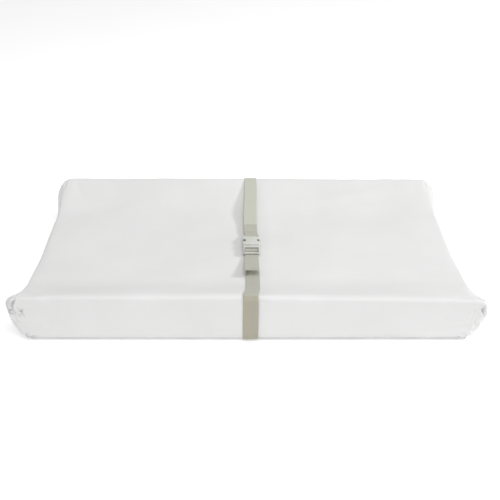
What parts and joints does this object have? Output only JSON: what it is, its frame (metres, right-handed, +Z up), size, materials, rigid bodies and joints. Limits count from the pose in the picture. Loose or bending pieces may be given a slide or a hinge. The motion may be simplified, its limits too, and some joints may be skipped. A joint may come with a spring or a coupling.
{
  "type": "changing pad",
  "caption": "Contoured baby changing pad with raised long sides, a wipe-clean cover and a buckled webbing safety belt across the hollow.",
  "frame": {"origin": "middle of the underside, on the surface the pad lies on", "axes": "+X along the length, +Y from the front side to the rear side, +Z up"},
  "size_m": [0.79, 0.4425, 0.0898],
  "materials": {
    "cover": "smooth wipe-clean coated fabric with a soft satin sheen and fine grain",
    "foam": "open-cell polyurethane foam",
    "base": "non-slip fabric with fine grip dots",
    "elastic": "flat braided elastic",
    "zip_tape": "fine woven polyester tape",
    "zip_chain": "nylon coil",
    "zip_metal": "plated zinc, satin",
    "webbing": "flat woven polypropylene webbing, sage grey",
    "thread": "polyester sewing thread",
    "buckle": "moulded acetal, light grey, semi-gloss",
    "eyelet": "nickel-plated, satin",
    "label": "blank satin label"
  },
  "bodies": {
    "pad": {"foam_core": "foam", "cover_wrap": "cover", "end_panel_left": "cover", "end_panel_right": "cover", "base_panel": "base", "end_elastic_left": "elastic", "end_elastic_right": "elastic", "zip_tape": "zip_tape", "zip_chain": "zip_chain", "zip_stops": "zip_metal", "strap_front": "webbing", "strap_rear": "webbing", "strap_stitching": "thread", "buckle_socket": "buckle", "anchor_roots": "webbing", "care_label": "label"},
    "plug": {"buckle_plug": "buckle", "strap_tail": "webbing", "tail_stitching": "thread"},
    "prong_left": {"prong_left": "buckle"},
    "prong_right": {"prong_right": "buckle"},
    "slider": {"zip_slider": "zip_metal"},
    "pull": {"zip_pull": "zip_metal"},
    "anchor_left": {"anchor_tab_left": "webbing", "anchor_eyelet_left": "eyelet"},
    "anchor_right": {"anchor_tab_right": "webbing", "anchor_eyelet_right": "eyelet"}
  },
  "joints": [
    {"name": "buckle_release", "type": "slide", "parent": "pad", "child": "plug", "axis": [0, -1, 0], "range_m": [0, 0.03], "deforming": ["prong_left", "prong_right"]},
    {"name": "prong_left_squeeze", "type": "hinge", "parent": "plug", "child": "prong_left", "pos_m": [-0.0026, -0.008, 0.0555], "axis": [0, 0, -1], "range_deg": [0, 7], "stiffness_Nm_per_rad": 0.5},
    {"name": "prong_right_squeeze", "type": "hinge", "parent": "plug", "child": "prong_right", "pos_m": [0.0166, -0.008, 0.0555], "axis": [0, 0, 1], "range_deg": [0, 7], "stiffness_Nm_per_rad": 0.5},
    {"name": "zip_slide", "type": "slide", "parent": "pad", "child": "slider", "axis": [1, 0, 0], "range_m": [0, 0.587]},
    {"name": "pull_swing", "type": "hinge", "parent": "slider", "child": "pull", "pos_m": [-0.2935, 0.221, 0.024], "axis": [1, 0, 0], "range_deg": [0, 150]},
    {"name": "anchor_left_fold", "type": "hinge", "parent": "pad", "child": "anchor_left", "pos_m": [-0.345, 0.21965, 0.00225], "axis": [-1, 0, 0], "range_deg": [0, 90]},
    {"name": "anchor_right_fold", "type": "hinge", "parent": "pad", "child": "anchor_right", "pos_m": [0.345, 0.21965, 0.00225], "axis": [-1, 0, 0], "range_deg": [0, 90]}
  ]
}
